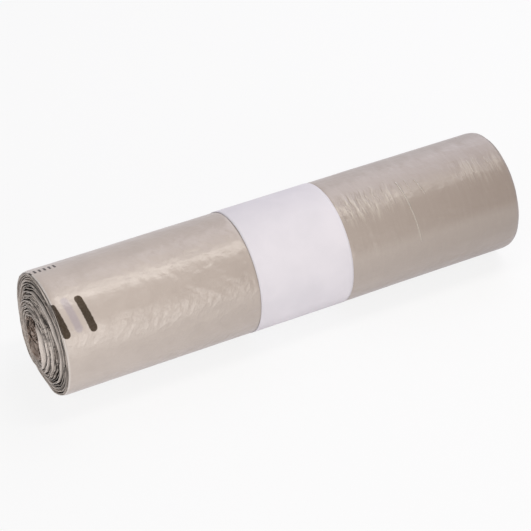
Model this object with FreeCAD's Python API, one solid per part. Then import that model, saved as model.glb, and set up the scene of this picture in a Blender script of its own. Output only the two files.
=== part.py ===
"""Bin bag roll with a paper band, in millimetres.

A coreless roll of bin bags: one continuous web of folded film, wound on itself. Its inner end is crumpled up in the
hollow in the middle. Its outer end, the tail, lies on the back. A paper band round the middle keeps it shut.
The roll lies along X on the flat that its own weight presses in it. Z is up. The origin is under the middle.
Each turn stands for a bundle of thin turns that cling together, as they do at the ends of the roll. The roll has
run out of line as it was wound: its inner turns stand out of one end and are sunk by as much in the other.

The section is drawn in (y, z) from the middle of the hollow. A joint is where one half turn meets the next, above
the middle if its number is even and below it if odd. The even half turns go down over the front, the odd ones up
over the back. A level is the distance from the middle to one side of the web at a joint.
"""

import FreeCAD, Part
import math
import os

# Driving sizes of the roll
ROLL_LENGTH = 350.0
ROLL_DIAMETER = 88.0
HOLLOW_DIAMETER = 29.0
TURNS = 14
TURNS_IN_STEP = 2
RUN_OUT = 5.0
TURN_GAP = 0.4
GAP_SWELL = 0.9
GAP_WAVE = 2.4
TAIL_THICKNESS = 0.25
TAIL_GAP = 0.05
TAIL_ANGLE = 35.0
FLAT_WIDTH = 20.0
FLAT_CORNER = 20.0

# The crumpled inner end: each straight run, the radius of the bend after it and the degrees it turns to the left. Runs
# and radii are shares of the radius of the hollow
FOLD_THICKNESS = 1.0
FOLDS = (
    (0.10, 0.31, -190.0),
    (0.52, 0.205, 180.0),
    (0.80, 0.25, -150.0),
    (0.40, 0.14, 155.0),
    (0.36, 0.0, 0.0),
)

# Driving sizes of the paper band
BAND_WIDTH = 72.0
BAND_OFFSET = 3.5
BAND_THICKNESS = 0.25
BAND_CLEARANCE = 0.05
BAND_SIDE_CLEARANCE = 0.2
LAP_LENGTH = 22.0
LAP_RAMP = 3.0

# Worked out from them
ROLL_RADIUS = ROLL_DIAMETER / 2
HOLLOW_RADIUS = HOLLOW_DIAMETER / 2
PRESS = BAND_THICKNESS + BAND_CLEARANCE
LAST = 2 * TURNS
STEP = 2 * TURNS_IN_STEP
TAIL = math.radians(TAIL_ANGLE)
TURN_PITCH = (ROLL_RADIUS - TAIL_THICKNESS - TAIL_GAP - HOLLOW_RADIUS + TURN_GAP) / TURNS
TURN_WALL = TURN_PITCH - TURN_GAP


class Joint:
    """One side of the web at a joint: its level, and how far a band presses it in there."""

    def __init__(self, level, press=0.0):
        share = level / ROLL_RADIUS
        self.level = level - press
        self.half = FLAT_WIDTH / 2 * share
        self.corner = FLAT_CORNER * share - press
        self.depth = self.corner + math.sqrt((self.level - self.corner) ** 2 - self.half**2)


class HalfTurn:
    """The side arc from the joint above to the corner of the flat below, level at its top and without a kink."""

    def __init__(self, above, below):
        reach = above.level + below.depth - below.corner
        rise = reach - below.corner
        self.radius = (below.half**2 + reach**2 - below.corner**2) / (2 * rise)
        self.centre = above.level - self.radius
        self.meet = math.atan2(self.centre + below.depth - below.corner, below.half)


def outer_level(joint):
    """Level of the web's outer side. The last turn rises by no more than the tail, so the roll stays round."""
    if joint <= LAST - 2:
        return HOLLOW_RADIUS + TURN_WALL + TURN_PITCH * joint / 2
    return ROLL_RADIUS - (TAIL_THICKNESS + TAIL_GAP) * (LAST - joint) / 2


def inner_level(joint):
    """Level of the web's inner side. The gaps swell and narrow from joint to joint, as in a loosely wound roll."""
    if joint == 0:
        return outer_level(0) - FOLD_THICKNESS
    if joint == LAST:
        return outer_level(LAST - 2) + TAIL_GAP
    if joint == LAST - 1:
        return outer_level(LAST - 3) + TURN_GAP
    return outer_level(joint) - TURN_WALL + GAP_SWELL * (1 + math.sin(GAP_WAVE * joint)) / 2


def outer_side(press):
    """The joints of the outer side, pressed in by the band where they lie under it."""
    return [Joint(outer_level(j), press if j >= LAST - 3 else 0.0) for j in range(LAST + 1)]


def inner_side(press):
    """The joints of the inner side, of which the thin end of the last turn gives way to the band."""
    return [Joint(inner_level(j), press if j >= LAST - 1 else 0.0) for j in range(LAST + 1)]


SKIN = outer_side(0.0)
FRONT = HalfTurn(SKIN[LAST - 2], SKIN[LAST - 1])
BACK = HalfTurn(SKIN[LAST], SKIN[LAST - 1])
UNDER_TAIL = HalfTurn(SKIN[LAST - 2], SKIN[LAST - 3])
MIDDLE = RUN_OUT / 2
BAND_MIDDLE = MIDDLE + BAND_OFFSET
SHIFT_Y = (FRONT.radius - BACK.radius - BAND_THICKNESS) / 2
SHIFT_Z = SKIN[LAST - 1].depth


def polar(centre, radius, angle):
    """The point of the section at an angle from +Y about a centre."""
    return centre[0] + radius * math.cos(angle), centre[1] + radius * math.sin(angle)


def vector(point, x):
    """A point of the section as a vector at x along the roll."""
    return FreeCAD.Vector(x, point[0] + SHIFT_Y, point[1] + SHIFT_Z)


def arc(centre, radius, start, end, x):
    """The edge of an arc of the section."""
    points = [polar(centre, radius, a) for a in (start, (start + end) / 2, end)]
    return Part.Arc(*[vector(p, x) for p in points]).toShape()


def line(start, end, x):
    """The edge of a straight stretch of the section."""
    return Part.LineSegment(vector(start, x), vector(end, x)).toShape()


def face(edges):
    """The flat face that the edges of a section enclose."""
    return Part.Face(Part.Wire(Part.__sortEdges__(edges)))


def corner_arc(joint, side, meet, x):
    """The corner beside the flat at a joint below the middle, on the front if side is -1, on the back if 1."""
    low = 1.5 * math.pi
    end = low + side * (math.pi / 2 - meet)
    return arc((side * joint.half, joint.corner - joint.depth), joint.corner, low, end, x)


def flat_line(joint, x):
    """The flat at a joint below the middle."""
    return line((-joint.half, -joint.depth), (joint.half, -joint.depth), x)


def turn_edges(joints, first, last, x):
    """The edges of one side of the turns from one joint to a later one."""
    edges = []
    for number in range(first, last):
        down = number % 2 == 0
        above, below = joints[number + (not down)], joints[number + down]
        half = HalfTurn(above, below)
        if down:
            edges.append(arc((0.0, half.centre), half.radius, math.pi / 2, math.pi + half.meet, x))
            edges.append(corner_arc(below, -1, half.meet, x))
            edges.append(flat_line(below, x))
        else:
            end = TAIL if number == LAST - 1 else math.pi / 2
            edges.append(corner_arc(below, 1, half.meet, x))
            edges.append(arc((0.0, half.centre), half.radius, -half.meet, end, x))
    return edges


def fold_edges(offset, x):
    """The edges of the crumpled inner end on one side of its middle line, and the point where that side ends.

    The line sets out from the joint above the hollow, towards the back. The offset is to its left.
    """
    place, heading = (0.0, outer_level(0) - FOLD_THICKNESS / 2), 0.0
    edges = []
    for run_share, bend_share, turn_degrees in FOLDS:
        left = heading + math.pi / 2
        end = polar(place, run_share * HOLLOW_RADIUS, heading)
        edges.append(line(polar(place, offset, left), polar(end, offset, left), x))
        place = end
        if turn_degrees:
            side = math.copysign(1.0, turn_degrees)
            bend = bend_share * HOLLOW_RADIUS
            centre = polar(place, side * bend, left)
            start = left + (math.pi if side > 0 else 0.0)
            turn = math.radians(turn_degrees)
            edges.append(arc(centre, bend - side * offset, start, start + turn, x))
            place = polar(centre, bend, start + turn)
            heading += turn
    return edges, polar(place, offset, heading + math.pi / 2)


def start_edges(first, outer, inner, x):
    """The edges that close a stretch of the web at its first joint: the crumpled inner end or a plain cut."""
    if first > 0:
        return [line((0.0, inner[first].level), (0.0, outer[first].level), x)]
    fold_out, tip_out = fold_edges(FOLD_THICKNESS / 2, x)
    fold_in, tip_in = fold_edges(-FOLD_THICKNESS / 2, x)
    return fold_out + fold_in + [line(tip_out, tip_in, x)]


def end_edge(last, outer, inner, x):
    """The edge that closes a stretch of the web at its last joint: the tail or a plain cut."""
    if last < LAST:
        return line((0.0, inner[last].level), (0.0, outer[last].level), x)
    outside = HalfTurn(outer[LAST], outer[LAST - 1])
    inside = HalfTurn(inner[LAST], inner[LAST - 1])
    tail_out = polar((0.0, outside.centre), outside.radius, TAIL)
    tail_in = polar((0.0, inside.centre), inside.radius, TAIL)
    return line(tail_out, tail_in, x)


def stretch(first, last, press, start, end):
    """The web from one joint to a later one, from start to end along the roll."""
    outer, inner = outer_side(press), inner_side(press)
    edges = turn_edges(outer, first, last, start) + turn_edges(inner, first, last, start)
    edges += start_edges(first, outer, inner, start)
    edges.append(end_edge(last, outer, inner, start))
    return face(edges).extrude(FreeCAD.Vector(end - start, 0, 0))


def film_roll():
    """The wound web, in steps that run out along the roll. The band presses in the middle of the outermost."""
    reach = BAND_WIDTH / 2 + BAND_SIDE_CLEARANCE
    near, far = -ROLL_LENGTH / 2, ROLL_LENGTH / 2
    outermost = LAST - STEP
    pieces = []
    for first in range(0, outermost, STEP):
        shift = MIDDLE - RUN_OUT * (1 - first / outermost)
        pieces.append(stretch(first, first + STEP, 0.0, near + shift, far + shift))
    stations = (near + MIDDLE, BAND_MIDDLE - reach, BAND_MIDDLE + reach, far + MIDDLE)
    for start, end, press in zip(stations, stations[1:], (0.0, PRESS, 0.0)):
        pieces.append(stretch(outermost, LAST, press, start, end))
    return pieces[0].multiFuse(pieces[1:]).removeSplitter().Solids[0]


def band_edges(inset, x, lap):
    """The edges of one side of the band, inset from the skin of the roll.

    It goes from the top down the front, along the flat and up the back, and spans the step at the tail in a
    straight line. The lap, where one end of the paper is glued over the other, is a double thickness on the back.
    """
    below = Joint(outer_level(LAST - 1), inset)
    back = (0.0, BACK.centre)
    radius = BACK.radius - inset
    pivot = polar(back, BACK.radius - BAND_THICKNESS, TAIL)
    gap = math.hypot(pivot[0], pivot[1] - UNDER_TAIL.centre)
    touch = math.atan2(pivot[1] - UNDER_TAIL.centre, pivot[0])
    touch += math.acos((UNDER_TAIL.radius - BAND_THICKNESS) / gap)
    landing = polar((0.0, UNDER_TAIL.centre), UNDER_TAIL.radius - inset, touch)
    edges = [
        arc((0.0, FRONT.centre), FRONT.radius - inset, math.pi / 2, math.pi + FRONT.meet, x),
        corner_arc(below, -1, FRONT.meet, x),
        flat_line(below, x),
        corner_arc(below, 1, BACK.meet, x),
        arc((0.0, UNDER_TAIL.centre), UNDER_TAIL.radius - inset, touch, math.pi / 2, x),
    ]
    if not lap:
        edges.append(arc(back, radius, -BACK.meet, TAIL, x))
        edges.append(line(pivot, landing, x))
        return edges
    end = LAP_LENGTH / 2 / BACK.radius
    ramp = LAP_RAMP / BACK.radius
    raised = radius + BAND_THICKNESS
    edges += [
        arc(back, radius, -BACK.meet, -end - ramp, x),
        line(polar(back, radius, -end - ramp), polar(back, raised, -end), x),
        arc(back, raised, -end, end, x),
        line(polar(back, raised, end), polar(back, radius, end), x),
        arc(back, radius, end, TAIL, x),
        arc(pivot, BAND_THICKNESS, TAIL, touch, x),
        line(polar(pivot, BAND_THICKNESS, touch), landing, x),
    ]
    return edges


def paper_band():
    """The strip of paper, wrapped round the roll in the channel that it presses in the film."""
    start = BAND_MIDDLE - BAND_WIDTH / 2
    outline = face(band_edges(0.0, start, True))
    inside = face(band_edges(BAND_THICKNESS, start, False))
    return outline.cut(inside).Faces[0].extrude(FreeCAD.Vector(BAND_WIDTH, 0, 0))


def main():
    os.makedirs("parts", exist_ok=True)
    film_roll().exportStep("parts/film_roll.step")
    paper_band().exportStep("parts/paper_band.step")


if __name__ == "__main__":
    main()
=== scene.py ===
"""A bin bag roll: wound film with loose ends, a printed outer turn and a paper band, over its frame."""

from __future__ import annotations

import logging
import math
from dataclasses import dataclass
from dataclasses import field
from enum import Enum
from typing import Callable
from typing import Optional
from typing import Union

import bmesh
import bpy
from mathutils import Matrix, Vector
from mathutils import noise


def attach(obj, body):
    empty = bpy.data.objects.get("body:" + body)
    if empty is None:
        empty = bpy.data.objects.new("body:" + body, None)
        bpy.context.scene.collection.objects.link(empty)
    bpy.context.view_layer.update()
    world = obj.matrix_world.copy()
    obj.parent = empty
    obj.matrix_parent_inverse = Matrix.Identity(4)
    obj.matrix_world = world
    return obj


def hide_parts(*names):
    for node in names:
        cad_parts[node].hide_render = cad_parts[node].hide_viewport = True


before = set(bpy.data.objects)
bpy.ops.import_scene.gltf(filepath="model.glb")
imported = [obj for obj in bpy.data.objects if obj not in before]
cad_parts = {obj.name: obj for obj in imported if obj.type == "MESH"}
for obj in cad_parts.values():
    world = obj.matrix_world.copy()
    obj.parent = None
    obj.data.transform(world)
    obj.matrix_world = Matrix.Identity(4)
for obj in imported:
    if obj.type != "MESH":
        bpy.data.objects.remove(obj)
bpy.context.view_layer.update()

LOG = logging.getLogger("bin_bag_roll")
MM = 0.001
Colour = tuple[float, float, float]


def smooth(value: float) -> float:
    """Return value held between 0 and 1 and eased at both ends."""
    value = min(1.0, max(0.0, value))
    return value * value * (3.0 - 2.0 * value)


def drift(value: float, seed: float = 0.0) -> float:
    """Return smooth noise between about -1 and 1 along a line."""
    return noise.noise(Vector((value, seed * 7.31, seed * 3.17)))


def window(value: float, low: float, high: float, fade: float) -> float:
    """Return 1 between low and high and 0 past a fade on either side."""
    return smooth((value - low) / fade + 1.0) * smooth((high - value) / fade + 1.0)


class End(Enum):
    """The end of the roll: its inner turns stand out of the near one and are sunk in the far one."""

    NEAR = -1
    FAR = 1


@dataclass(frozen=True)
class RollForm:
    """The outer form of the roll and the place of its axis, as the solid has them.

    An angle is counted about the axis from the back, over the top, to the front.
    """

    near: float = -172.5 * MM
    far: float = 177.5 * MM
    run_out: float = 5.0 * MM
    radius: float = 44.0 * MM
    flat: float = 20.0 * MM
    corner: float = 20.0 * MM
    axis_y: float = -0.2 * MM
    tail: float = math.radians(35.0)

    @property
    def depth(self) -> float:
        """The flat's distance below the axis."""
        return self.corner + math.sqrt((self.radius - self.corner) ** 2 - (self.flat / 2) ** 2)

    def reach(self, angle: float) -> float:
        """Give the distance from the axis to the outside of the roll.

        Args:
            angle: The direction from the axis.

        Returns:
            The distance in metres, with the flat and its rounded corners below.
        """
        across, down = abs(math.cos(angle)), -math.sin(angle)
        if down <= 0.0:
            return self.radius
        half, rise = self.flat / 2, self.depth - self.corner
        if across * self.depth <= half * down:
            return self.depth / down
        if across * rise >= half * down:
            return self.radius
        along = across * half + down * rise
        return along + math.sqrt(self.corner**2 - half**2 - rise**2 + along**2)

    def place(self, x: float, angle: float, distance: float) -> Vector:
        """Return the point at a distance from the axis."""
        return Vector((x, self.axis_y + distance * math.cos(angle), self.depth + distance * math.sin(angle)))

    def rim(self, end: End) -> float:
        """Return where the outer turns end along X."""
        return self.near if end is End.NEAR else self.far


@dataclass(frozen=True)
class BandForm:
    """The paper band's place and size on the roll."""

    start: float = -30.0 * MM
    end: float = 42.0 * MM
    thickness: float = 0.25 * MM
    lap: float = math.radians(28.0)
    lap_end: float = math.radians(14.0)

    def covers(self, x: float, fade: float) -> float:
        """Return 1 under the band, fading to 0 outside its edges."""
        return window(x, self.start, self.end, fade)


Placer = Callable[[int, int], Vector]
Noter = Callable[[int, int], dict[str, float]]


def wrapped_sheet(
    name: str, columns: int, rows: int, placer: Placer, noter: Optional[Noter] = None, turned: bool = False
) -> bpy.types.Object:
    """Make a sheet of quads and bring it to its shape.

    Args:
        name: The name of the piece.
        columns: How many faces it has along its length.
        rows: How many faces it has across.
        placer: Gives the point of the vertex at a column and a row.
        noter: Gives the numbers that its finish reads at a column and a row.
        turned: Whether its faces are turned over, so that they point outwards.

    Returns:
        The object, with its place in its mesh.
    """
    sheet = bmesh.new()
    bmesh.ops.create_grid(sheet, x_segments=columns, y_segments=rows, size=0.5)
    layers = {key: sheet.verts.layers.float.new(key) for key in (noter(0, 0) if noter else ())}
    for vertex in sheet.verts:
        column = round((vertex.co.x + 0.5) * columns)
        row = round((vertex.co.y + 0.5) * rows)
        vertex.co = placer(column, row)
        notes = noter(column, row) if noter else {}
        for key, layer in layers.items():
            vertex[layer] = notes[key]
    if turned:
        bmesh.ops.reverse_faces(sheet, faces=sheet.faces)
    mesh = bpy.data.meshes.new(name)
    for face in sheet.faces:
        face.smooth = True
    sheet.to_mesh(mesh)
    sheet.free()
    piece = bpy.data.objects.new(name, mesh)
    bpy.context.scene.collection.objects.link(piece)
    return piece


Operand = Union["Value", float]


class Value:
    """A number in a shader, whose sums add Math nodes."""

    def __init__(self, graph: "Graph", socket: bpy.types.NodeSocket) -> None:
        """Wrap an output socket of the graph."""
        self.graph = graph
        self.socket = socket

    def __add__(self, other: Operand) -> "Value":
        """Return the sum."""
        return self.graph.maths("ADD", self, other)

    __radd__ = __add__

    def __sub__(self, other: Operand) -> "Value":
        """Return the difference."""
        return self.graph.maths("SUBTRACT", self, other)

    def __rsub__(self, other: Operand) -> "Value":
        """Return the difference the other way round."""
        return self.graph.maths("SUBTRACT", other, self)

    def __mul__(self, other: Operand) -> "Value":
        """Return the product."""
        return self.graph.maths("MULTIPLY", self, other)

    __rmul__ = __mul__

    def __truediv__(self, other: Operand) -> "Value":
        """Return the quotient."""
        return self.graph.maths("DIVIDE", self, other)

    def __pow__(self, other: Operand) -> "Value":
        """Return the power."""
        return self.graph.maths("POWER", self, other)

    def held(self) -> "Value":
        """Return the number held between 0 and 1."""
        return self.graph.maths("ADD", self, 0.0, clamp=True)

    def fade(self, low: float, high: float) -> "Value":
        """Ease the number between two bounds.

        Args:
            low: Where the result is 0.
            high: Where the result is 1.

        Returns:
            A number from 0 to 1 that changes smoothly between them.
        """
        settings = {"interpolation_type": "SMOOTHSTEP"}
        inputs = {"Value": self, "From Min": low, "From Max": high}
        return Value(self.graph, self.graph.node("ShaderNodeMapRange", settings, inputs).outputs["Result"])


class Graph:
    """The node tree of a material or of the surround, with short ways to add to it."""

    def __init__(self, owner: Union[bpy.types.Material, bpy.types.World]) -> None:
        """Start with an empty tree."""
        owner.use_nodes = True
        self.owner = owner
        self.tree = owner.node_tree
        self.tree.nodes.clear()

    def node(
        self, kind: str, settings: dict[str, object], inputs: dict[Union[str, int], object]
    ) -> bpy.types.Node:
        """Add a node.

        Args:
            kind: The node's type.
            settings: Its own properties, which are set first.
            inputs: A value or a link for each socket that is used.

        Returns:
            The node.
        """
        made = self.tree.nodes.new(kind)
        for key, setting in settings.items():
            setattr(made, key, setting)
        for key, value in inputs.items():
            if isinstance(value, Value):
                value = value.socket
            if isinstance(value, bpy.types.NodeSocket):
                self.tree.links.new(value, made.inputs[key])
            else:
                made.inputs[key].default_value = value
        return made

    def maths(self, operation: str, first: Operand, second: Operand = 0.0, clamp: bool = False) -> Value:
        """Add a Math node.

        Args:
            operation: What it works out.
            first: Its first number.
            second: Its second number.
            clamp: Whether the result is held between 0 and 1.

        Returns:
            The result.
        """
        settings = {"operation": operation, "use_clamp": clamp}
        made = self.node("ShaderNodeMath", settings, {0: first, 1: second})
        return Value(self, made.outputs[0])

    def place(self) -> tuple[bpy.types.NodeSocket, Value, Value, Value]:
        """Read the place on the object.

        Returns:
            The place as a vector and as its three numbers, in metres.
        """
        vector = self.node("ShaderNodeTexCoord", {}, {}).outputs["Object"]
        parts = self.node("ShaderNodeSeparateXYZ", {}, {"Vector": vector}).outputs
        return vector, Value(self, parts[0]), Value(self, parts[1]), Value(self, parts[2])

    def vector(self, x: Operand, y: Operand, z: Operand) -> bpy.types.NodeSocket:
        """Return a vector made of three numbers."""
        return self.node("ShaderNodeCombineXYZ", {}, {"X": x, "Y": y, "Z": z}).outputs[0]

    def attribute(self, name: str) -> Value:
        """Return a number that the piece holds at each of its vertices."""
        return Value(self, self.node("ShaderNodeAttribute", {"attribute_name": name}, {}).outputs["Fac"])

    def shown(self) -> Value:
        """Tell what is seen from what lights the scene.

        Returns:
            1 for what the camera sees, straight or in a reflection, and 0 for the rest.
        """
        path = self.node("ShaderNodeLightPath", {}, {})
        rays = [Value(self, path.outputs[f"Is {kind} Ray"]) for kind in ("Camera", "Glossy", "Transmission")]
        return self.maths("MAXIMUM", self.maths("MAXIMUM", rays[0], rays[1]), rays[2])

    def noise(
        self, vector: bpy.types.NodeSocket, scale: float, detail: float = 2.0, rough: float = 0.5
    ) -> Value:
        """Return noise from 0 to 1 over a vector."""
        inputs = {"Vector": vector, "Scale": scale, "Detail": detail, "Roughness": rough}
        return Value(self, self.node("ShaderNodeTexNoise", {}, inputs).outputs["Fac"])

    def blend(self, share: Operand, first: object, second: object) -> bpy.types.NodeSocket:
        """Mix two colours.

        Args:
            share: The share of the second one.
            first: The first colour, or a link to it.
            second: The second colour, or a link to it.

        Returns:
            The mixed colour.
        """
        colours = [(*c, 1.0) if isinstance(c, tuple) else c for c in (first, second)]
        made = self.node("ShaderNodeMix", {"data_type": "RGBA"}, {0: share, 6: colours[0], 7: colours[1]})
        return made.outputs[2]

    def bump(self, height: Value) -> bpy.types.NodeSocket:
        """Return the normal of a surface with a height in millimetres."""
        inputs = {"Strength": 1.0, "Distance": MM, "Height": height}
        return self.node("ShaderNodeBump", {}, inputs).outputs["Normal"]

    def surface(self, inputs: dict[str, object]) -> bpy.types.Material:
        """Finish the material as one Principled surface.

        Args:
            inputs: A value or a link for each socket that is used.

        Returns:
            The material.
        """
        made = self.node("ShaderNodeBsdfPrincipled", {}, inputs)
        self.node("ShaderNodeOutputMaterial", {}, {"Surface": made.outputs[0]})
        return self.owner


@dataclass(frozen=True)
class Stroke:
    """A straight stroke on the film, from end to end in millimetres along X and degrees above the front."""

    x_start: float
    up_start: float
    x_end: float
    up_end: float
    width: float
    strength: float = 1.0


@dataclass(frozen=True)
class FilmFinish:
    """The satin film of the outer turn, with its creases and its print of plain strokes, and with painted
    shade and painted highlights in its colour.
    """

    form: RollForm
    # The near tint is the film's colour where it is lit; the far tint holds painted shade for the far end.
    near_lit_tint: Colour = (0.520, 0.448, 0.400)
    far_shaded_tint: Colour = (0.268, 0.214, 0.180)
    # The pale colour serves random streaks, and painted highlights on wrinkle crests and creases.
    pale: Colour = (0.640, 0.580, 0.500)
    # The rim colour is painted light: a reflection low on the front and a highlight along the near rim.
    rim: Colour = (0.760, 0.710, 0.670)
    ink: Colour = (0.030, 0.019, 0.009)
    ghost: Colour = (0.300, 0.255, 0.310)
    hatch: tuple[Stroke, ...] = (
        Stroke(-153.8, 61.0, -150.4, 33.0, 5.4),
        Stroke(-172.6, 60.0, -169.4, 34.0, 5.4),
    )
    ghosts: tuple[Stroke, ...] = (
        Stroke(-163.2, 63.0, -160.2, 36.0, 5.2),
    )
    ticks: tuple[Stroke, ...] = tuple(
        Stroke(-172.6 + 3.5 * n, 113.0, -172.6 + 3.5 * n, 107.5, 1.6) for n in range(6)
    )
    creases: tuple[Stroke, ...] = (
        Stroke(93.1, 75.0, 94.6, 50.0, 0.9, 0.55),
        Stroke(94.6, 50.0, 97.2, 14.0, 0.8, 0.40),
        Stroke(106.6, 72.0, 108.8, 56.0, 0.8, 0.36),
        Stroke(99.5, 75.0, 100.4, 62.0, 0.7, 0.22),
        Stroke(151.0, 75.0, 151.2, 61.0, 0.8, 0.28),
        Stroke(164.5, 73.0, 165.0, 66.0, 0.8, 0.26),
    )
    folds: tuple[Stroke, ...] = (
        Stroke(-60.0, 50.0, -38.0, 30.0, 3.4, 0.15),
        Stroke(-78.0, 44.0, -44.0, 12.0, 4.0, 0.17),
        Stroke(-104.0, 30.0, -70.0, 4.0, 4.2, 0.14),
        Stroke(60.0, 50.0, 64.0, 10.0, 3.4, 0.12),
        Stroke(74.0, 58.0, 79.0, 20.0, 3.0, 0.12),
        Stroke(124.0, 35.0, 176.0, 17.0, 3.2, 0.20),
        Stroke(108.0, 33.0, 139.0, 20.0, 2.8, 0.14),
    )

    @property
    def degree(self) -> float:
        """The length of one degree round the roll, in millimetres."""
        return math.radians(1.0) * self.form.radius / MM

    def around(self, graph: Graph, y: Value, z: Value) -> Value:
        """Give the place round the roll. It jumps only at the tail's edge.

        Args:
            graph: The graph of the material.
            y: The place across the roll, in metres.
            z: The height, in metres.

        Returns:
            The place in millimetres, up from the front.
        """
        turn = self.form.tail
        out, up = self.form.axis_y - y, z - self.form.depth
        across = out * math.cos(turn) - up * math.sin(turn)
        above = up * math.cos(turn) + out * math.sin(turn)
        return (graph.maths("ARCTAN2", above, across) - turn) * (self.form.radius / MM)

    def distance(self, stroke: Stroke, x: Value, around: Value) -> Value:
        """Give the distance to a stroke on the unrolled film.

        Args:
            stroke: The stroke.
            x: The place along the roll, in millimetres.
            around: The place round the roll, in millimetres.

        Returns:
            The distance from its middle line, in millimetres.
        """
        low, high = (math.radians(up) * self.form.radius / MM for up in (stroke.up_start, stroke.up_end))
        run, rise = stroke.x_end - stroke.x_start, high - low
        across, up = x - stroke.x_start, around - low
        share = ((across * run + up * rise) / (run * run + rise * rise)).held()
        aside, above = across - share * run, up - share * rise
        return (aside * aside + above * above) ** 0.5

    def printed(self, strokes: tuple[Stroke, ...], x: Value, around: Value, soft: float) -> Value:
        """Give how far ink covers the film.

        Args:
            strokes: The strokes that are printed.
            x: The place along the roll, in millimetres.
            around: The place round the roll, in millimetres.
            soft: How far the edge of a stroke is blurred, in millimetres.

        Returns:
            A share from 0 to 1.
        """
        graph = x.graph
        grain = (graph.noise(graph.vector(x, around, 0.0), 0.55, 3.0) - 0.5) * 0.9
        cover = None
        for stroke in strokes:
            mark = 1.0 - (self.distance(stroke, x, around) - stroke.width / 2 + grain).fade(-soft, soft)
            cover = mark if cover is None else graph.maths("MAXIMUM", cover, mark)
        return cover

    def raised(self, strokes: tuple[Stroke, ...], x: Value, around: Value) -> Value:
        """Give the height of the creases or folds along strokes.

        Args:
            strokes: The lines that they follow.
            x: The place along the roll, in millimetres.
            around: The place round the roll, in millimetres.

        Returns:
            The height in millimetres.
        """
        height = None
        for stroke in strokes:
            ridge = (1.0 - self.distance(stroke, x, around).fade(0.0, stroke.width)) * stroke.strength
            height = ridge if height is None else height + ridge
        return height

    @staticmethod
    def wander(around: Value, scale: float, detail: float, reach: float) -> Value:
        """Return how far wrinkles stray along the roll at a place round it, in millimetres."""
        graph = around.graph
        return (graph.noise(graph.vector(0.0, around, 0.0), scale, detail) - 0.5) * reach

    def gathered(self, x: Value, around: Value) -> Value:
        """Give the height of the short wrinkles gathered beside the band and near the far rim.

        Args:
            x: The place along the roll, in millimetres.
            around: The place round the roll, in millimetres.

        Returns:
            The height in millimetres, almost all of it in a belt above the front.
        """
        graph, degree = x.graph, self.degree
        wander = self.wander(around, 0.07, 1.0, 4.0)
        ridged = graph.noise(graph.vector(x + wander, around * 0.13, 0.0), 0.34, 2.0, 0.6)
        beside = x.fade(41.0, 46.0) * (1.0 - x.fade(58.0, 108.0)) + 0.38 * x.fade(126.0, 142.0)
        belt = around.fade(42.0 * degree, 58.0 * degree) * around.fade(84.0 * degree, 70.0 * degree)
        return (ridged - 0.5) * 2.1 * beside * (0.05 + belt)

    def wrinkles(self, x: Value, around: Value) -> Value:
        """Give the height of the unevenness all over the film.

        Args:
            x: The place along the roll, in millimetres.
            around: The place round the roll, in millimetres.

        Returns:
            The height in millimetres: dents, wrinkles on the near part, sharp ones low down, and grain.
        """
        graph = x.graph
        wander = self.wander(around, 0.10, 2.0, 7.0)
        dents = graph.noise(graph.vector(x + wander, around * 0.35, 5.0), 0.09, 2.0) - 0.5
        faint = dents * 0.65 * x.fade(50.0, 90.0)
        silk = (graph.noise(graph.vector(x * 0.35, around * 1.5, 0.0), 0.15, 2.0, 0.5) - 0.5) * 0.24
        near = (1.0 - x.fade(-34.0, -28.0)) * (0.35 + 0.65 * x.fade(-140.0, -80.0))
        askew = graph.vector(x + around * 0.8, (around - x * 0.8) * 0.42, 4.0)
        slant = graph.noise(askew, 0.105, 1.5, 0.5) - 0.5
        crinkle = graph.noise(graph.vector(x + wander * 0.6, around, 6.0), 0.15, 2.0, 0.5) - 0.5
        broken = graph.noise(graph.vector(x - around * 0.5, around * 0.8, 8.0), 0.085, 3.0) - 0.5
        sharp = graph.maths("ABSOLUTE", broken)
        lower = around.fade(62.0 * self.degree, 40.0 * self.degree)
        slanted = slant * 0.50 * near + crinkle * 0.30 - sharp * (0.45 + 1.25 * lower) * (0.25 + 0.75 * near)
        grain = (graph.noise(graph.vector(x, around, 0.0), 0.8, 2.0, 0.6) - 0.5) * 0.030
        return faint + silk + slanted + grain

    def make(self) -> bpy.types.Material:
        """Make the material.

        Returns:
            The material of the outer turn.
        """
        graph = Graph(bpy.data.materials.new("bag_film_outer"))
        _, x, y, z = graph.place()
        x, around = x / MM, self.around(graph, y, z)
        clouds = graph.noise(graph.vector(x, around, 2.0), 0.06, 4.0, 0.6)
        streaks = graph.noise(graph.vector(x, around * 0.12, 7.0), 0.45, 3.0, 0.6)
        # Painted shade: the film darkens from the near tint to the far tint along the roll. A little of this
        # is the film's own haze; most of it stands in for light falling off towards the far end.
        colour = graph.blend(((x + 165.0) / 335.0).held(), self.near_lit_tint, self.far_shaded_tint)
        colour = graph.blend((clouds - 0.40) * 0.55, colour, self.far_shaded_tint)
        degree = self.degree
        # Painted reflection: a band low on the front is lightened towards the rim colour, standing in for
        # the bright table reflected there.
        low = around.fade(28.0 * degree, 14.0 * degree) * around.fade(-34.0 * degree, -12.0 * degree)
        colour = graph.blend(low * 0.13, colour, self.rim)
        colour = graph.blend((streaks - 0.46) * 0.14 * x.fade(36.0, 60.0), colour, self.pale)
        gathered = self.gathered(x, around)
        # Painted highlight: the crests of the gathered wrinkles are lightened towards the pale colour, as if
        # they caught the overhead lamp.
        colour = graph.blend((gathered * 3.0).held() * 0.5, colour, self.pale)
        creases = self.raised(self.creases, x, around)
        # The creases are lightened towards the pale colour: partly the film whitened at a sharp crease,
        # partly a painted highlight along the ridge.
        colour = graph.blend((creases * 1.5).held() * 0.8, colour, self.pale)
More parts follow.
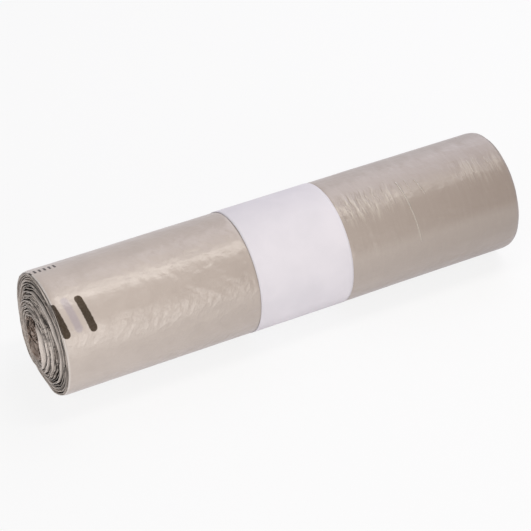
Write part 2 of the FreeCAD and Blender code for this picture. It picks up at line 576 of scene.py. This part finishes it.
        # Painted highlight: a thin pale line along the near rim, where the film's edge catches the light.
        colour = graph.blend((1.0 - x.fade(-172.0, -171.0)) * 0.7, colour, self.rim)
        ghost = self.printed(self.ghosts, x, around, 1.0)
        colour = graph.blend(ghost * 0.5, colour, self.ghost)
        ink = self.printed(self.hatch + self.ticks, x, around, 0.35)
        worn = 0.90 + 0.12 * graph.noise(graph.vector(x, around, 9.0), 0.8, 2.0)
        colour = graph.blend(ink * worn, colour, self.ink)
        height = self.wrinkles(x, around) + gathered + creases + self.raised(self.folds, x, around)
        return graph.surface({
            "Base Color": colour,
            "Roughness": 0.29 + 0.09 * clouds + 0.20 * ink,
            "Metallic": ink * 0.95,
            "IOR": 1.62,
            "Sheen Weight": 0.24,
            "Sheen Roughness": 0.5,
            "Sheen Tint": (0.88, 0.85, 1.0, 1.0),
            "Normal": graph.bump(height),
        })


@dataclass(frozen=True)
class EdgeFinish:
    """The film at the ends: pale edges, darker between the turns and on their loose side as painted shade,
    paler where an edge stands out as a painted highlight, and brown in the crushed middle.
    """

    form: RollForm
    name: str
    edge: Colour = (0.340, 0.283, 0.245)
    pale: Colour = (0.680, 0.605, 0.548)
    # A paler colour, put as a painted highlight on edges that stand out.
    lit_edge: Colour = (0.780, 0.705, 0.650)
    brown: Colour = (0.470, 0.365, 0.305)
    # Near black, put as painted shade between the turns and in the folds of the crushed middle.
    deep: Colour = (0.020, 0.015, 0.012)

    def make(self) -> bpy.types.Material:
        """Make the material, which reads how deep and how far across its bundle each point lies.

        Returns:
            The material of the ends.
        """
        graph = Graph(bpy.data.materials.new(self.name))
        vector, _, y, z = graph.place()
        depth, across, middle = (graph.attribute(name) for name in ("depth", "across", "middle"))
        loose, lit_edge = graph.attribute("loose"), graph.attribute("lit_edge")
        angle = graph.maths("ARCTAN2", z - self.form.depth, y - self.form.axis_y)
        tone = graph.noise(graph.vector(across * 0.35, angle * 0.5, 0.0), 1.1, 2.0, 0.5)
        # Partly random tone, partly painted shade: the film is darker towards the edge colour on the loose
        # side of the turns, where their gaps hold shade.
        colour = graph.blend((tone.fade(0.38, 0.62) + 0.5 * (1.0 - loose)).held(), self.edge, self.pale)
        # Painted highlight: the outer face of an edge that stands out beyond the turn beside it is made
        # paler, as if lit.
        colour = graph.blend(lit_edge, colour, self.lit_edge)
        blotches = graph.noise(vector, 160.0, 3.0, 0.6)
        colour = graph.blend(middle * (0.55 + 0.45 * blotches.fade(0.35, 0.6)), colour, self.brown)
        plies = graph.noise(graph.vector(across * 0.9, angle * 0.6, 3.0), 1.6, 2.0, 0.6)
        # Painted shade: thin near-black lines between the plies, stronger on the loose side.
        lines = plies.fade(0.48, 0.58) * (0.25 + 0.65 * loose) * (1.0 - lit_edge) * (1.0 - middle)
        colour = graph.blend(lines, colour, self.deep)
        # Painted shade: near-black spots in the folds of the crushed middle.
        colour = graph.blend(blotches.fade(0.56, 0.68) * middle * 0.65, colour, self.deep)
        # Painted shade: the film goes near black with its depth between the turns.
        colour = graph.blend(depth.fade(0.1, 1.0) * 0.95, colour, self.deep)
        return graph.surface({
            "Base Color": colour,
            "Roughness": 0.36 + 0.20 * blotches,
            "IOR": 1.55,
            "Normal": graph.bump((graph.noise(vector, 420.0, 2.0) - 0.5) * 0.12),
        })


@dataclass(frozen=True)
class PaperFinish:
    """Plain white paper, uncoated, with a faint tooth and a few soft dents."""

    form: RollForm
    white: Colour = (0.742, 0.714, 0.762)
    shade: Colour = (0.705, 0.680, 0.728)

    def make(self) -> bpy.types.Material:
        """Make the material.

        Returns:
            The material of the band.
        """
        graph = Graph(bpy.data.materials.new("band_paper"))
        vector, _, _, _ = graph.place()
        clouds = graph.noise(vector, 38.0, 3.0, 0.55)
        tooth = (graph.noise(vector, 1500.0, 2.0, 0.6) - 0.5) * 0.030
        dents = (graph.noise(vector, 70.0, 2.0, 0.5) - 0.5) * 0.16
        return graph.surface({
            "Base Color": graph.blend(clouds.fade(0.3, 0.7), self.white, self.shade),
            "Roughness": 0.82 + 0.08 * clouds,
            "IOR": 1.45,
            "Normal": graph.bump(tooth + dents),
        })


@dataclass
class OuterTurn:
    """The outermost turn of film, from under the tail once round to the tail's edge on the back.

    Its last few rows at each rim turn in, each by a depth of its own in millimetres.
    """

    form: RollForm
    band: BandForm
    columns: int = 208
    rows: int = 226
    thickness: float = 0.45 * MM
    press: float = 0.33 * MM
    overlap: float = math.radians(10.0)
    sag: float = 0.28 * MM
    wind: float = 0.5 * MM
    bulge: float = 0.10 * MM
    beside_band: float = 7.0 * MM
    rim_wave: float = 0.5 * MM
    rim_drop: float = 0.55 * MM
    rim_width: float = 4.0 * MM
    turned_in: tuple[float, ...] = (0.0, 0.0, 0.3, 4.0, 12.0)

    def relief(self, x: float, angle: float) -> float:
        """Give the height of the broad unevenness of the film.

        Args:
            x: The place along the roll.
            angle: The direction from the axis.

        Returns:
            The height in metres, none of it under the band or on the flat.
        """
        turn = Vector((math.cos(angle), math.sin(angle), 0.0))
        broad = noise.noise(turn * 1.7 + Vector((0.0, 0.0, x * 14.0)))
        long_waves = noise.noise(Vector((x * 16.0, angle * 4.2, 3.0)))
        fine = noise.noise(Vector((x * 60.0, angle * 9.0, 8.0)))
        height = (0.9 * broad + 0.55 * long_waves + 0.22 * fine) * self.sag
        above_flat = smooth((1.0 + math.sin(angle)) * 2.2)
        return height * above_flat * (1.0 - self.band.covers(x, self.beside_band))

    def point(self, column: int, row: int) -> Vector:
        """Give the place of one vertex of the film.

        Args:
            column: Counted round the roll; the last one turns in at the tail's edge.
            row: Counted along it; the first and last few turn in at the rims.

        Returns:
            The point in metres.
        """
        last = self.columns - 1
        share = min(column, last) / last
        angle = self.form.tail - self.overlap + (2 * math.pi + self.overlap) * share
        turned = len(self.turned_in) - 1
        along = min(max(row - turned, 0), self.rows - 2 * turned) / (self.rows - 2 * turned)
        inside = max(turned - row, row - (self.rows - turned), 0)
        side = Vector((math.cos(angle) * 2.0, math.sin(angle) * 2.0, 5.0 + along))
        wave = self.rim_wave * noise.noise(side)
        x = self.form.near + (self.form.far - self.form.near) * along + wave * (1.0 - 2.0 * along)
        distance = self.form.reach(angle) - self.wind * (1.0 - share)
        distance -= self.press * self.band.covers(x, 0.8 * MM)
        distance += self.bulge * (self.band.covers(x, self.beside_band) - self.band.covers(x, 1.5 * MM))
        distance += self.relief(x, angle)
        to_rim = min(x - self.form.near, self.form.far - x)
        distance -= self.rim_drop * (1.0 - smooth(to_rim / self.rim_width)) ** 2
        if inside:
            distance -= self.thickness * min(1.0, 0.55 * inside)
            depth = self.turned_in[inside] * MM
            x += depth if row < turned else -depth
        if column > last:
            distance -= self.wind
        return self.form.place(x, angle, distance)

    def build(self, finish: bpy.types.Material) -> bpy.types.Object:
        """Make the piece.

        Args:
            finish: Its material.

        Returns:
            The finished piece.
        """
        piece = wrapped_sheet("film_outer_turn", self.columns, self.rows, self.point)
        piece.data.materials.append(finish)
        return piece


@dataclass
class EndTurns:
    """The turns of film that show at one end, drawn as bundles with uneven gaps.

    A share counts across a bundle from its outer side to its inner one. The profile goes over a bundle's
    edge: at each row, the depth in millimetres and the share.
    """

    form: RollForm
    end: End
    turns: int = 25
    steps: int = 96
    hollow: float = 19.0 * MM
    hollow_y: float = 1.5 * MM
    hollow_z: float = -3.0 * MM
    under_skin: float = 0.75 * MM
    loose_side: float = math.radians(155.0)
    front_side: float = math.radians(185.0)
    front_out: float = 4.0 * MM
    edge_uneven: float = 2.1 * MM
    edge_ripple: float = 0.55 * MM
    edge_curl: float = 0.25 * MM
    sums: list[float] = field(default_factory=list)
    films: list[float] = field(default_factory=list)
    totals: list[float] = field(default_factory=list)
    profile: tuple[tuple[float, float], ...] = (
        (26.0, 0.0), (12.0, 0.0), (6.0, 0.0), (3.0, 0.0), (1.2, 0.0), (0.3, 0.03), (0.0, 0.30),
        (0.0, 0.70), (0.3, 0.97), (1.2, 1.0), (3.0, 1.0), (6.0, 1.0), (12.0, 1.0), (26.0, 1.0),
    )

    @property
    def seed(self) -> float:
        """A number that makes each end's unevenness its own."""
        return 2.9 if self.end is End.NEAR else 6.3

    def film(self, turn: float) -> float:
        """Return the thickness of the bundle at a turn, as a share."""
        return 0.62 + 0.62 * max(-0.5, drift(turn * 0.83, self.seed))

    def gap(self, turn: float, angle: float) -> float:
        """Give the gap inside the bundle at a turn.

        Args:
            turn: The turn, counted from the outside in.
            angle: The direction from the axis.

        Returns:
            The gap, as a share.
        """
        lean = self.loose_side + 1.3 * drift(turn * 0.47, self.seed + 1.0)
        loose = max(0.0, drift(turn * 0.91, self.seed + 2.0) + 0.16) * 4.4
        ripple = noise.noise(Vector((math.cos(angle) * 2.6, math.sin(angle) * 2.6, turn * 0.9 + self.seed)))
        return 0.06 + max(0.0, ripple) * 0.5 + loose * self.looseness(angle, lean) * (1.0 + 0.8 * ripple)

    @staticmethod
    def looseness(angle: float, lean: float) -> float:
        """Return 1 on the loose side of the turns, falling to 0 on the other."""
        return (0.5 + 0.5 * math.cos(angle - lean)) ** 1.4

    def measure(self) -> None:
        """Add up the bundles and gaps from the outside in, so that they fill the roll down to its hollow."""
        first = self.film(1.0) + self.gap(1.0, self.angle(self.steps))
        for index in range(self.turns * self.steps + 1):
            turn = index / self.steps
            if index < self.steps:
                self.sums.append(turn * first)
            else:
                share = self.film(turn) + self.gap(turn, self.angle(index))
                self.sums.append(self.sums[index - self.steps] + share)
            self.films.append(self.film(turn))
        for step in range(self.steps):
            part = step / self.steps
            inner = self.sums[(self.turns - 1) * self.steps + step]
            outer = self.sums[(self.turns - 2) * self.steps + step]
            self.totals.append((1.0 - part) * inner + part * outer)

    def angle(self, index: int) -> float:
        """Return the direction from the axis at a step of the spiral."""
        return self.form.tail - 2 * math.pi * index / self.steps

    def hollow_reach(self, angle: float) -> float:
        """Give the distance from the axis to the side of the hollow, which lies off the middle.

        Args:
            angle: The direction from the axis.

        Returns:
            The distance in metres.
        """
        across = self.hollow_y * math.cos(angle) + self.hollow_z * math.sin(angle)
        offset = self.hollow_y**2 + self.hollow_z**2
        uneven = 1.0 + 0.10 * noise.noise(Vector((math.cos(angle) * 1.3, math.sin(angle) * 1.3, self.seed)))
        return across + math.sqrt(across**2 - offset + (self.hollow * uneven) ** 2)

    def edge(self, turn: float, angle: float) -> float:
        """Give how far along X the film's edge lies from the rim.

        Args:
            turn: The turn, counted from the outside in.
            angle: The direction from the axis.

        Returns:
            The distance in metres, towards +X.
        """
        share = turn / self.turns
        out = self.form.run_out * (0.25 * share + 0.75 * smooth((share - 0.30) / 0.30))
        front = max(0.0, math.cos(angle - self.front_side))
        out += self.front_out * front * smooth((share - 0.84) / 0.03)
        uneven = self.edge_uneven * drift(turn * 0.95, self.seed + 3.0)
        side = Vector((math.cos(angle) * 2.2, math.sin(angle) * 2.2, turn * 0.6))
        uneven += self.edge_ripple * noise.noise(side)
        return self.end.value * (out if self.end is End.NEAR else -out) + uneven * smooth(turn)

    def point(self, column: int, row: int) -> Vector:
        """Give the place of one vertex of the spiral.

        Args:
            column: Counted along the film, from the outside in.
            row: Counted over its edge, from deep on its outer side to deep on its inner side.

        Returns:
            The point in metres.
        """
        depth, side = self.profile[row]
        turn, angle = column / self.steps, self.angle(column)
        outside = self.form.reach(angle) - self.under_skin
        scale = (outside - self.hollow_reach(angle)) / self.totals[column % self.steps]
        distance = outside - (self.sums[column] + side * self.films[column]) * scale
        curl = noise.noise(Vector((math.cos(angle) * 5.0, math.sin(angle) * 5.0, turn * 1.9 + self.seed)))
        distance += self.edge_curl * curl * (1.0 - min(1.0, depth / 4.0)) * smooth(turn)
        inward = -self.end.value
        x = self.form.rim(self.end) + self.edge(turn, angle) + inward * depth * MM
        return self.form.place(x, angle, distance)

    def stand(self, column: int, step: float) -> float:
        """Give how far the film's edge stands out beyond that of a turn beside it.

        Args:
            column: Counted along the film.
            step: -1 for the turn outside it, 1 for the turn inside it.

        Returns:
            The distance in millimetres, below 0 where the edge is sunk.
        """
        turn, angle = column / self.steps, self.angle(column)
        if not 0.0 <= turn + step <= self.turns:
            return 0.0
        return self.end.value * (self.edge(turn, angle) - self.edge(turn + step, angle)) / MM

    def notes(self, column: int, row: int) -> dict[str, float]:
        """Give what the finish reads at a vertex.

        Args:
            column: Counted along the film.
            row: Counted over its edge.

        Returns:
            Its depth between the turns, which sets the painted shade, its place across them, how loose it
            is, how strongly its edge gets the painted highlight, and how far in it is.
        """
        depth, side = self.profile[row]
        outside = side < 0.5
        stand = self.stand(column, -1.0 if outside else 1.0)
        loose = self.looseness(self.angle(column), self.loose_side)
        # The depth note is the mask of the painted shade: less where an edge stands out, more on the loose
        # side.
        depth = max(0.0, depth - (max(0.25 * stand, stand - 0.45) if stand > 0.0 else 0.8 * stand))
        return {
            "depth": depth * (0.40 + 0.60 * loose),
            "across": self.sums[column] + side * self.films[column],
            "middle": 0.0,
            "loose": loose,
            # Marks the outer face of an edge that stands out, for the painted highlight.
            "lit_edge": smooth((stand - 0.9) / 1.2) if outside else 0.0,
        }

    def build(self, finish: bpy.types.Material) -> bpy.types.Object:
        """Make the piece.

        Args:
            finish: Its material.

        Returns:
            The finished piece.
        """
        self.measure()
        name = f"film_turns_{self.end.name.lower()}"
        rows = len(self.profile) - 1
        far = self.end is End.FAR
        piece = wrapped_sheet(name, self.turns * self.steps, rows, self.point, self.notes, turned=far)
        piece.data.materials.append(finish)
        return piece


@dataclass
class CrushedMiddle:
    """The crumpled start of the web in the hollow at one end."""

    turns: EndTurns
    columns: int = 520
    rows: int = 22
    loops: float = 5.2
    into_roll: float = 22.0 * MM
    thickness: float = 0.3 * MM

    def point(self, column: int, row: int) -> Vector:
        """Give the place of one vertex of the crumpled sheet.

        Args:
            column: Counted along the sheet, from the side of the hollow inwards.
            row: Counted from its edge into the roll.

        Returns:
            The point in metres.
        """
        form, end, seed = self.turns.form, self.turns.end, self.turns.seed
        share, deep = column / self.columns, row / self.rows
        angle = form.tail - 2 * math.pi * self.loops * share
        spin = Vector((math.cos(angle) * 1.5, math.sin(angle) * 1.5, share * 8.0 + seed))
        fold = noise.noise(spin) + 0.7 * noise.noise(spin * 2.9 + Vector((0.0, 0.0, deep * 1.6)))
        fill = 0.98 - 0.86 * share
        distance = self.turns.hollow * (fill + 0.36 * fold * smooth(share * 6.0))
        distance = min(max(distance, 0.03 * self.turns.hollow), 0.98 * self.turns.hollow)
        bend = angle + 0.9 * noise.noise(Vector((share * 18.0, seed, deep * 0.8)))
        y = form.axis_y + self.turns.hollow_y + distance * math.cos(bend)
        z = form.depth + self.turns.hollow_z + distance * math.sin(bend)
        ragged = 2.6 * MM * noise.noise(Vector((share * 26.0, seed + 4.0, 2.0)))
        ragged += 1.2 * MM * noise.noise(Vector((share * 90.0, seed + 4.0, 2.0)))
        sunk = (0.9 + 1.5 * smooth(share * 1.6)) * MM
        out = form.run_out if end is End.NEAR else -form.run_out
        x = form.rim(end) + end.value * (out - sunk - ragged - deep**1.5 * self.into_roll)
        crumple = 0.9 * MM * noise.noise(Vector((y * 260.0, z * 260.0, deep * 6.0)))
        crease = 0.5 * MM * noise.noise(Vector((y * 700.0, z * 700.0, deep * 14.0)))
        return Vector((x, y + crumple + crease, z - crumple + crease))

    def notes(self, column: int, row: int) -> dict[str, float]:
        """Return how deep and how far along the sheet a vertex lies, and that it is in the middle."""
        # Painted shade: the crushed sheet is marked deeper, and so darker, the further it goes into the
        # roll.
        deep = 1.7 * (row / self.rows) ** 1.2
        return {"depth": deep, "across": column * 0.05, "middle": 1.0, "loose": 1.0, "lit_edge": 0.0}

    def build(self, finish: bpy.types.Material) -> bpy.types.Object:
        """Make the piece, with the film's thickness.

        Args:
            finish: Its material.

        Returns:
            The finished piece.
        """
        name = f"film_crushed_{self.turns.end.name.lower()}"
        piece = wrapped_sheet(name, self.columns, self.rows, self.point, self.notes)
        piece.data.materials.append(finish)
        wall = piece.modifiers.new("film_thickness", "SOLIDIFY")
        wall.thickness = self.thickness
        wall.offset = 0.0
        return piece


@dataclass
class DeepFilm:
    """The mass of turns deep inside one end, which closes the view between the turns that are drawn. It is
    coloured near black as painted shade.
    """

    form: RollForm
    end: End
    depth: float = 21.0 * MM
    rings: int = 10
    around: int = 72
    under_skin: float = 1.1 * MM
    dents: float = 1.5 * MM

    def point(self, column: int, row: int) -> Vector:
        """Give the place of one vertex.

        Args:
            column: Counted round the axis.
            row: Counted out from it.

        Returns:
            The point in metres.
        """
        angle = 2 * math.pi * column / self.around
        share = max(0.001, row / self.rings)
        distance = (self.form.reach(angle) - self.under_skin) * share
        side = Vector((math.cos(angle) * share * 5.0, math.sin(angle) * share * 5.0, 2.0))
        uneven = self.dents * noise.noise(side)
        x = self.form.rim(self.end) - self.end.value * self.depth + uneven * (1.0 - share)
        return self.form.place(x, angle, distance)

    def build(self, finish: bpy.types.Material) -> bpy.types.Object:
        """Make the piece, closed in its middle.

        Args:
            finish: Its material.

        Returns:
            The finished piece.
        """
        name = f"film_deep_{self.end.name.lower()}"
        # Painted shade: a depth of 8 makes the whole mass near black.
        notes = {"depth": 8.0, "across": 0.0, "middle": 1.0, "loose": 1.0, "lit_edge": 0.0}
        piece = wrapped_sheet(name, self.around, self.rings, self.point, lambda column, row: notes)
        mesh = bmesh.new()
        mesh.from_mesh(piece.data)
        bmesh.ops.remove_doubles(mesh, verts=mesh.verts, dist=0.05 * MM)
        bmesh.ops.recalc_face_normals(mesh, faces=mesh.faces)
        mesh.to_mesh(piece.data)
        mesh.free()
        piece.data.materials.append(finish)
        return piece


@dataclass
class PaperBand:
    """The strip of paper round the middle, glued over its own start on the back.

    Past the tail's edge the film lies lower, and the paper settles on it there.
    """

    form: RollForm
    band: BandForm
    columns: int = 236
    rows: int = 42
    ease: float = 0.02 * MM
    edge_wave: float = 0.12 * MM
    dents: float = 0.07 * MM
    lap_rise: float = 0.09
    settle: float = 0.28 * MM
    settle_fade: float = math.radians(20.0)

    def point(self, column: int, row: int) -> Vector:
        """Give the place of one vertex of the strip.

        Args:
            column: Counted round the roll; the first and last turn in at the strip's ends.
            row: Counted across it; the first and last lie on its inner side.

        Returns:
            The point in metres.
        """
        last = self.columns - 1
        share = min(max(column - 1, 0), last - 1) / (last - 1)
        start = self.band.lap_end - self.band.lap
        angle = start + (2 * math.pi + self.band.lap) * share
        raised = smooth((angle - start - 2 * math.pi + self.lap_rise) / self.lap_rise)
        across = min(max(row - 1, 0), self.rows - 2) / (self.rows - 2)
        side = Vector((math.cos(angle) * 2.5, math.sin(angle) * 2.5, 4.0 * across))
        wave = self.edge_wave * noise.noise(side)
        x = self.band.start + (self.band.end - self.band.start) * across + wave
        distance = self.form.reach(angle) + self.ease + self.band.thickness * raised
        past_tail = smooth((angle - math.radians(40.0)) / self.settle_fade)
        low_part = window(angle, math.radians(36.0), math.radians(80.0), self.settle_fade)
        distance -= self.settle * past_tail * low_part
        soft = noise.noise(Vector((math.cos(angle) * 2.2, math.sin(angle) * 2.2, x * 40.0)))
        distance += self.dents * soft * smooth((1.0 + math.sin(angle)) * 2.2)
        if row in (0, self.rows) or column in (0, self.columns):
            distance -= self.band.thickness
        return self.form.place(x, angle, distance)

    def build(self, finish: bpy.types.Material) -> bpy.types.Object:
        """Make the piece.

        Args:
            finish: Its material.

        Returns:
            The finished piece.
        """
        piece = wrapped_sheet("band_of_paper", self.columns, self.rows, self.point)
        piece.data.materials.append(finish)
        return piece


@dataclass(frozen=True)
class Lamp:
    """A soft rectangular lamp: its place, its width and height, how bright its face is, and its colour."""

    name: str
    at: tuple[float, float, float]
    size: tuple[float, float]
    brightness: float
    colour: Colour

    def hang(self, aim: Vector) -> None:
        """Hang the lamp.

        Args:
            aim: The point that it faces.
        """
        light = bpy.data.lights.new(self.name, "AREA")
        light.shape = "RECTANGLE"
        light.size, light.size_y = self.size
        light.energy = self.brightness * math.pi * self.size[0] * self.size[1]
        light.color = self.colour
        lamp = bpy.data.objects.new(self.name, light)
        bpy.context.scene.collection.objects.link(lamp)
        lamp.location = self.at
        lamp.visible_camera = False
        lamp.rotation_euler = (aim - Vector(self.at)).to_track_quat("-Z", "Y").to_euler()


@dataclass(frozen=True)
class Studio:
    """A white table and surround, with soft lamps: two overhead, two behind, one in front, one aside."""

    surround: float = 0.28
    table_white: float = 0.84
    table_paint: Colour = (0.83, 0.83, 0.85)
    table_half: float = 6.0
    aim: tuple[float, float, float] = (0.0, 0.0, 0.04)
    lamps: tuple[Lamp, ...] = (
        Lamp("overhead_lamp", (0.165, -0.075, 0.84), (0.08, 0.46), 18.0, (1.0, 0.95, 0.88)),
        Lamp("overhead_far_lamp", (0.60, -0.045, 0.84), (0.16, 0.40), 2.9, (1.0, 0.96, 0.93)),
        Lamp("back_lamp", (0.80, 0.66, 0.94), (0.92, 1.30), 2.05, (0.90, 0.89, 1.0)),
        Lamp("low_back_lamp", (0.95, 1.20, 0.34), (0.70, 0.50), 0.6, (0.88, 0.86, 1.0)),
        Lamp("front_lamp", (-0.08, -1.18, 0.22), (0.80, 0.80), 3.9, (1.0, 0.97, 0.93)),
        Lamp("side_lamp", (-1.20, -0.45, 0.60), (0.80, 0.80), 1.9, (1.0, 0.98, 0.97)),
    )

    def table(self) -> None:
        """Lay the white table that the roll rests on. It is seen white, with the roll's shadow."""
        graph = Graph(bpy.data.materials.new("white_table"))
        paint = graph.node("ShaderNodeBsdfDiffuse", {}, {"Color": (*self.table_paint, 1.0)})
        glow = graph.node("ShaderNodeEmission", {}, {"Color": (1.0, 1.0, 1.0, 1.0), "Strength": 1.0})
        inputs = {0: graph.shown() * self.table_white, 1: paint.outputs[0], 2: glow.outputs[0]}
        seen = graph.node("ShaderNodeMixShader", {}, inputs)
        graph.node("ShaderNodeOutputMaterial", {}, {"Surface": seen.outputs[0]})
        top = bmesh.new()
        bmesh.ops.create_grid(top, x_segments=1, y_segments=1, size=self.table_half)
        mesh = bpy.data.meshes.new("white_table")
        top.to_mesh(mesh)
        top.free()
        table = bpy.data.objects.new("white_table", mesh)
        bpy.context.scene.collection.objects.link(table)
        mesh.materials.append(graph.owner)

    def air(self) -> None:
        """Light the roll evenly from all round, with white behind it."""
        world = bpy.data.worlds.new("white_surround")
        bpy.context.scene.world = world
        graph = Graph(world)
        strength = self.surround + graph.shown() * (1.0 - self.surround)
        sky = graph.node("ShaderNodeBackground", {}, {"Color": (1.0, 1.0, 1.0, 1.0), "Strength": strength})
        graph.node("ShaderNodeOutputWorld", {}, {"Surface": sky.outputs[0]})

    def build(self) -> None:
        """Set up the table, the surround and the lamps."""
        self.table()
        self.air()
        for lamp in self.lamps:
            lamp.hang(Vector(self.aim))


@dataclass(frozen=True)
class Viewpoint:
    """The camera: a long lens, above and to the near side of the front."""

    azimuth: float = math.radians(-27.9)
    elevation: float = math.radians(38.04)
    distance: float = 1563.8 * MM
    target: tuple[float, float, float] = (-3.7 * MM, -0.2 * MM, 38.3 * MM)
    lens: float = 151.9

    def build(self) -> None:
        """Place the camera and make it the scene's own."""
        level = math.cos(self.elevation)
        across, ahead = math.sin(self.azimuth) * level, -math.cos(self.azimuth) * level
        back = Vector((across, ahead, math.sin(self.elevation)))
        data = bpy.data.cameras.new("camera")
        data.lens = self.lens
        data.sensor_width = 36.0
        data.clip_end = 20.0
        camera = bpy.data.objects.new("camera", data)
        bpy.context.scene.collection.objects.link(camera)
        camera.location = Vector(self.target) + back * self.distance
        camera.rotation_euler = back.to_track_quat("Z", "Y").to_euler()
        bpy.context.scene.camera = camera


@dataclass
class FilmRoll:
    """All the film: its outer turn, and at each end the turns, the crushed middle and the mass behind."""

    form: RollForm
    band: BandForm

    def build(self) -> list[bpy.types.Object]:
        """Make the pieces, which stand for the solid roll.

        Returns:
            The pieces, the outer turn first.
        """
        outer = OuterTurn(self.form, self.band).build(FilmFinish(self.form).make())
        edges = EdgeFinish(self.form, "bag_film_edges").make()
        pieces = [outer]
        for end in End:
            turns = EndTurns(self.form, end)
            pieces.append(turns.build(edges))
            pieces.append(CrushedMiddle(turns).build(edges))
            pieces.append(DeepFilm(self.form, end).build(edges))
        for piece in pieces:
            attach(piece, "root")
        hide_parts("film_roll")
        return pieces


def main() -> None:
    """Build the roll, its band and the studio, and report each piece."""
    logging.basicConfig(level=logging.INFO)
    bpy.context.scene.view_settings.view_transform = "Standard"
    form, band = RollForm(), BandForm()
    pieces = FilmRoll(form, band).build()
    paper = PaperBand(form, band).build(PaperFinish(form).make())
    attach(paper, "root")
    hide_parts("paper_band")
    pieces.append(paper)
    for piece in pieces:
        LOG.info("%s: %d faces", piece.name, len(piece.data.polygons))
    Studio().build()
    Viewpoint().build()


if __name__ == "__main__":
    main()
